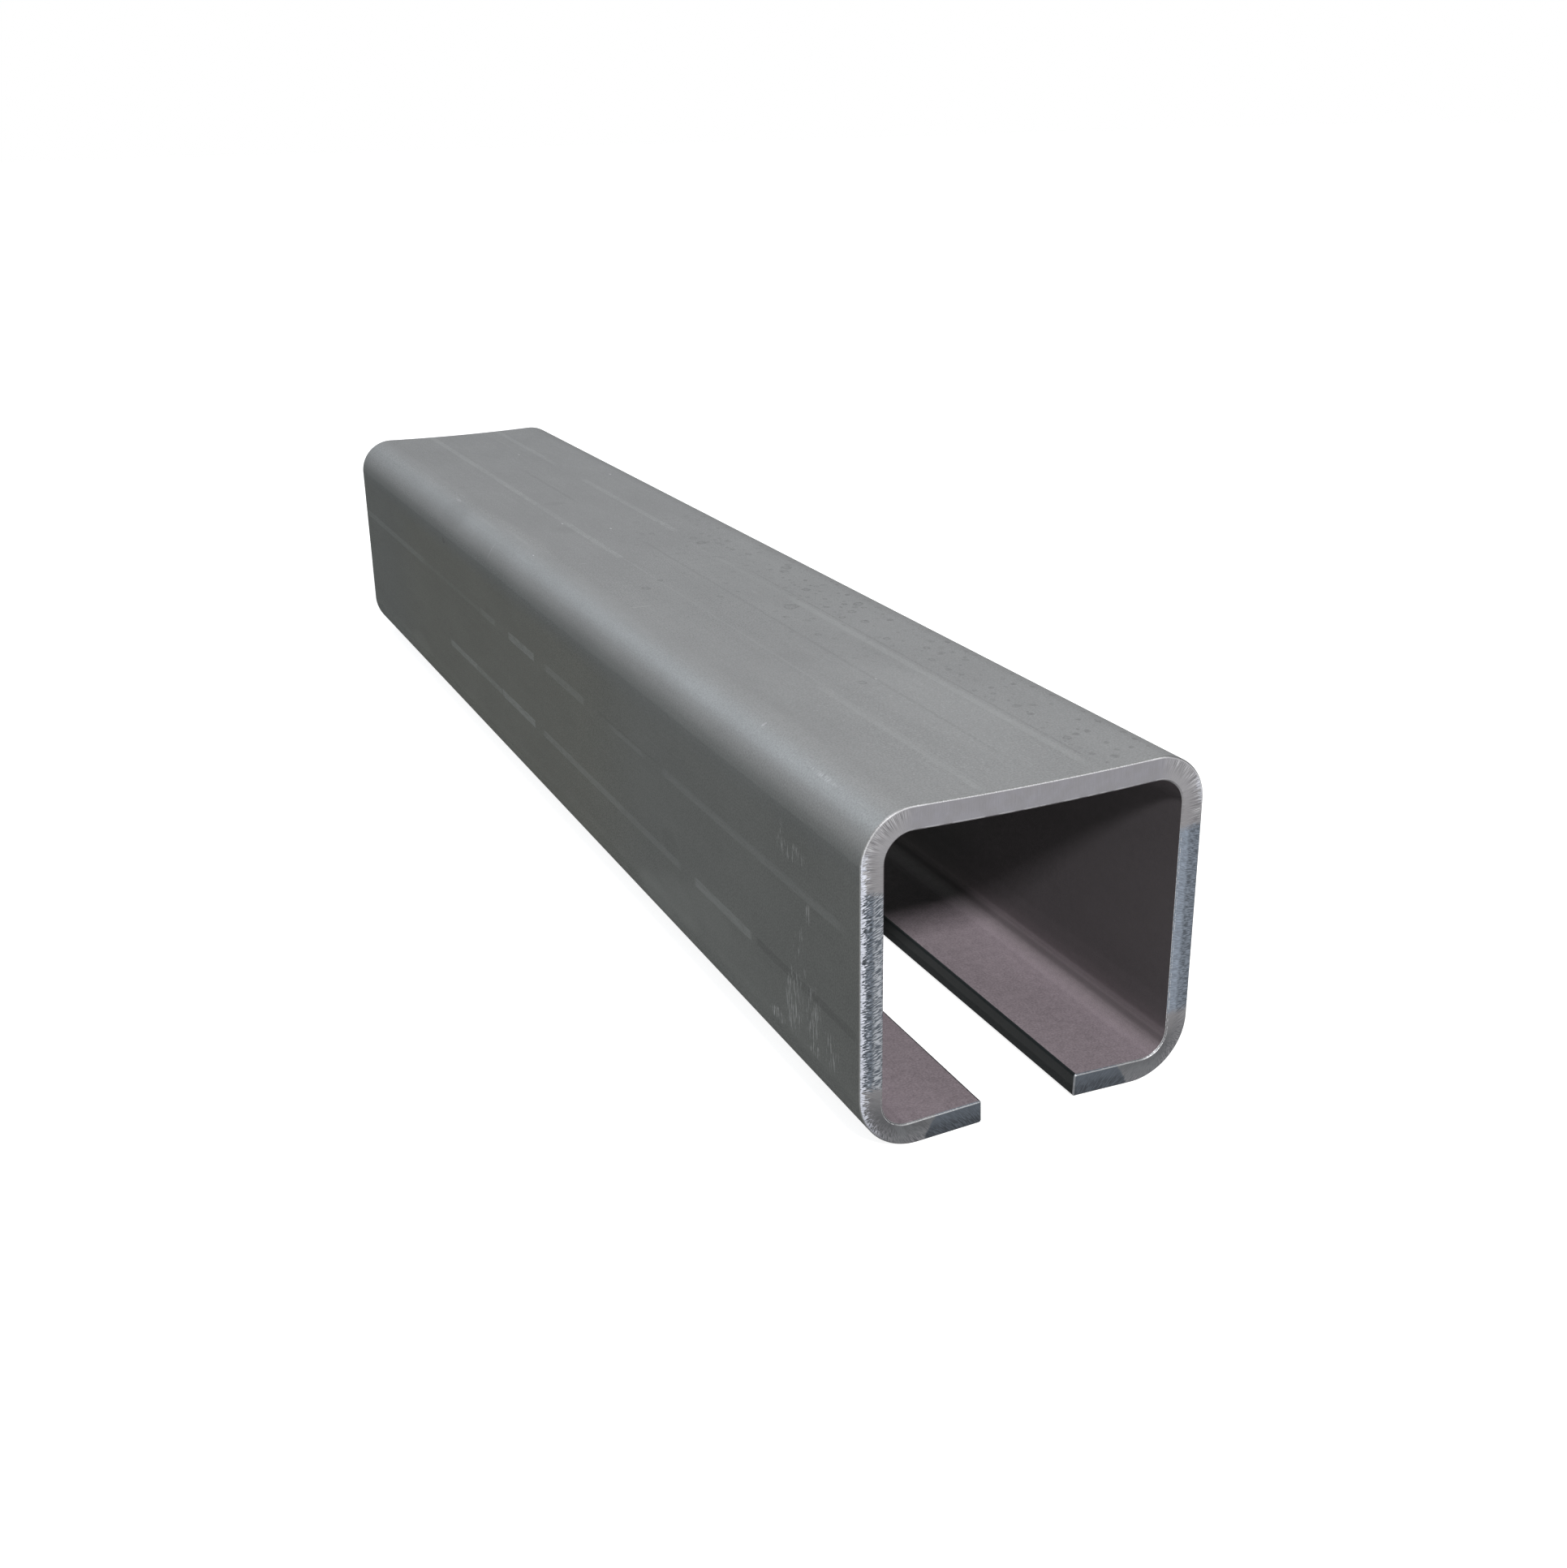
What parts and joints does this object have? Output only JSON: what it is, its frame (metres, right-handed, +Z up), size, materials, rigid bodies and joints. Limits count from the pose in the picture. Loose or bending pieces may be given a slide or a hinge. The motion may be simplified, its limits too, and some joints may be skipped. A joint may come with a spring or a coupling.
{
  "type": "gate guide track",
  "caption": "Short length of roll-formed steel C-rail for a cantilever sliding gate, with a slot along its underside and square-cut ends.",
  "frame": {"origin": "on the floor under the middle of the rail's length, centred across its width", "axes": "+Y along the rail from the near cut end to the far one, +Z up towards the web, +X across the rail"},
  "size_m": [0.076, 0.404, 0.0715],
  "materials": {
    "mill_scale_steel": "satin hot-rolled mill scale, with bright grooved cut ends"
  },
  "bodies": {
    "root": {"rail": "mill_scale_steel"}
  },
  "joints": []
}
